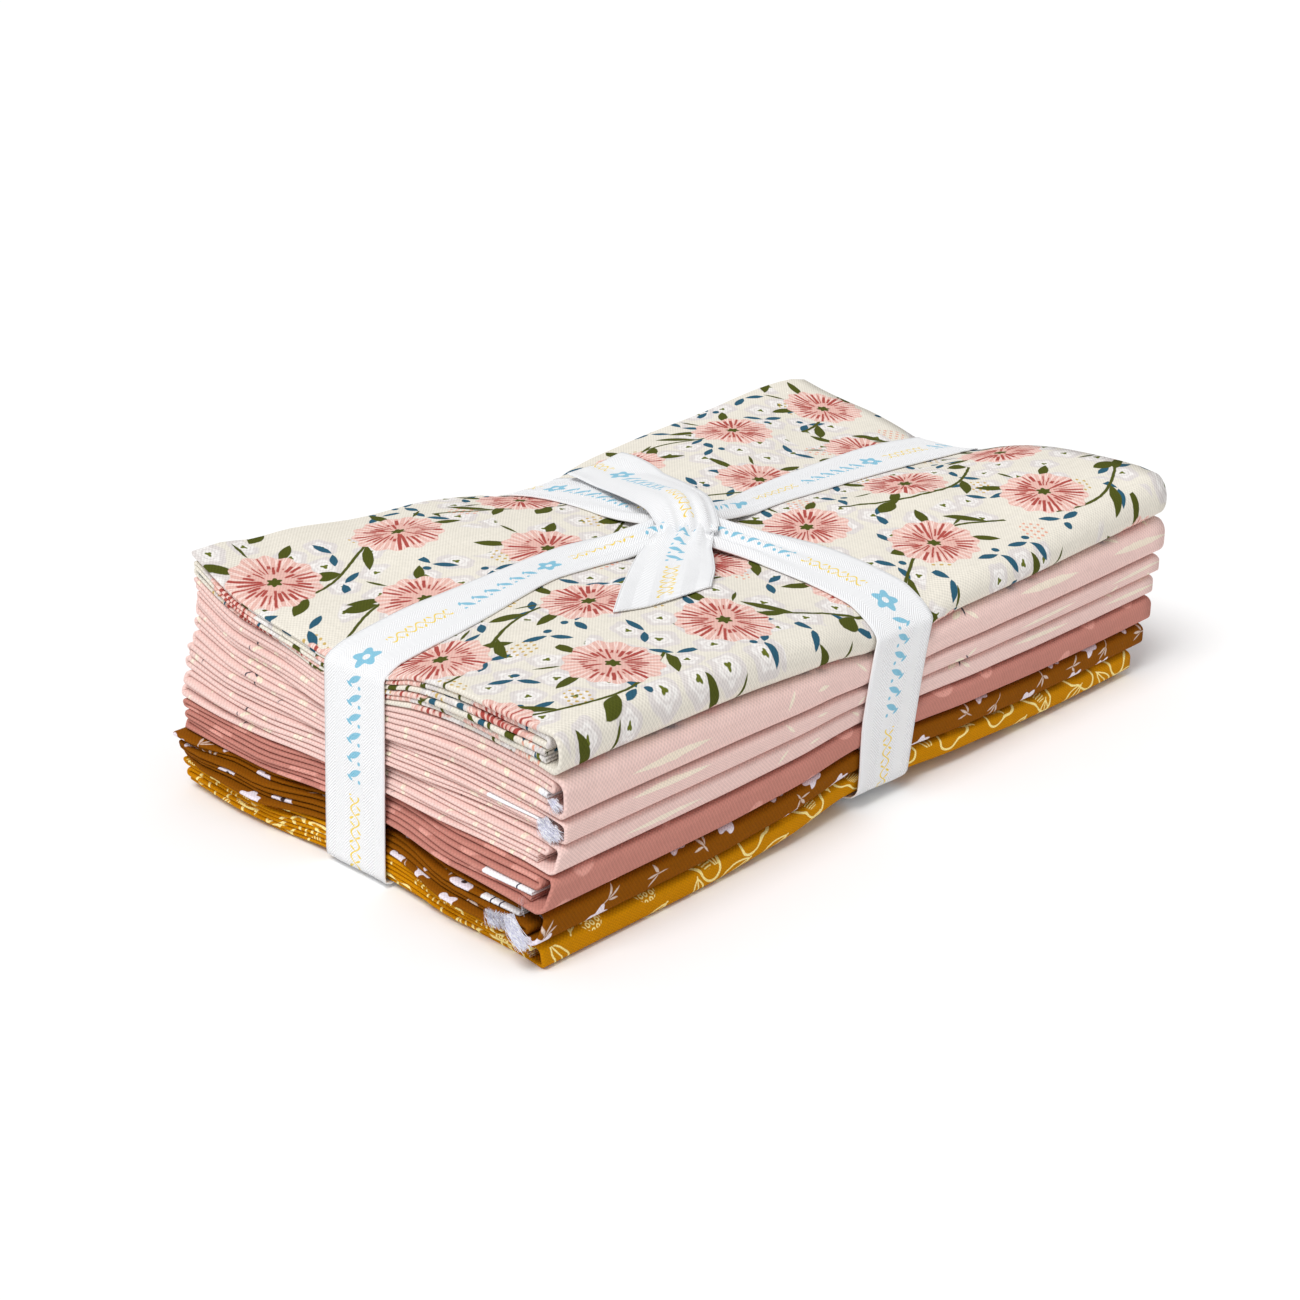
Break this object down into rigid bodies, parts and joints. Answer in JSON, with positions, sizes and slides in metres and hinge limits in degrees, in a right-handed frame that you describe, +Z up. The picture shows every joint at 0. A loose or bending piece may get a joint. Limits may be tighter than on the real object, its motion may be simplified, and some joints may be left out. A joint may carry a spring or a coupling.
{
  "type": "fabric bundle",
  "caption": "Bundle of folded quilting cottons in cream floral, blush, mauve, brown and gold, tied with a white ribbon.",
  "frame": {"origin": "on the surface that the bundle lies on, under the middle of its box", "axes": "+X along the long sides, towards the cut ends; +Y towards the back, where the loops of the folds are; +Z up through the layers"},
  "size_m": [0.2457, 0.1361, 0.0657],
  "materials": {
    "gold_cotton": "matte",
    "brown_cotton": "matte",
    "mauve_cotton": "matte",
    "blush_cotton": "matte",
    "cream_cotton": "matte",
    "white_ribbon": "satin"
  },
  "bodies": {
    "root": {"cloth_gold": "gold_cotton", "cloth_brown": "brown_cotton", "cloth_mauve": "mauve_cotton", "cloth_blush_low": "blush_cotton", "cloth_blush_mid": "blush_cotton", "cloth_blush_top": "blush_cotton", "cloth_cream": "cream_cotton", "ribbon": "white_ribbon"}
  },
  "joints": []
}
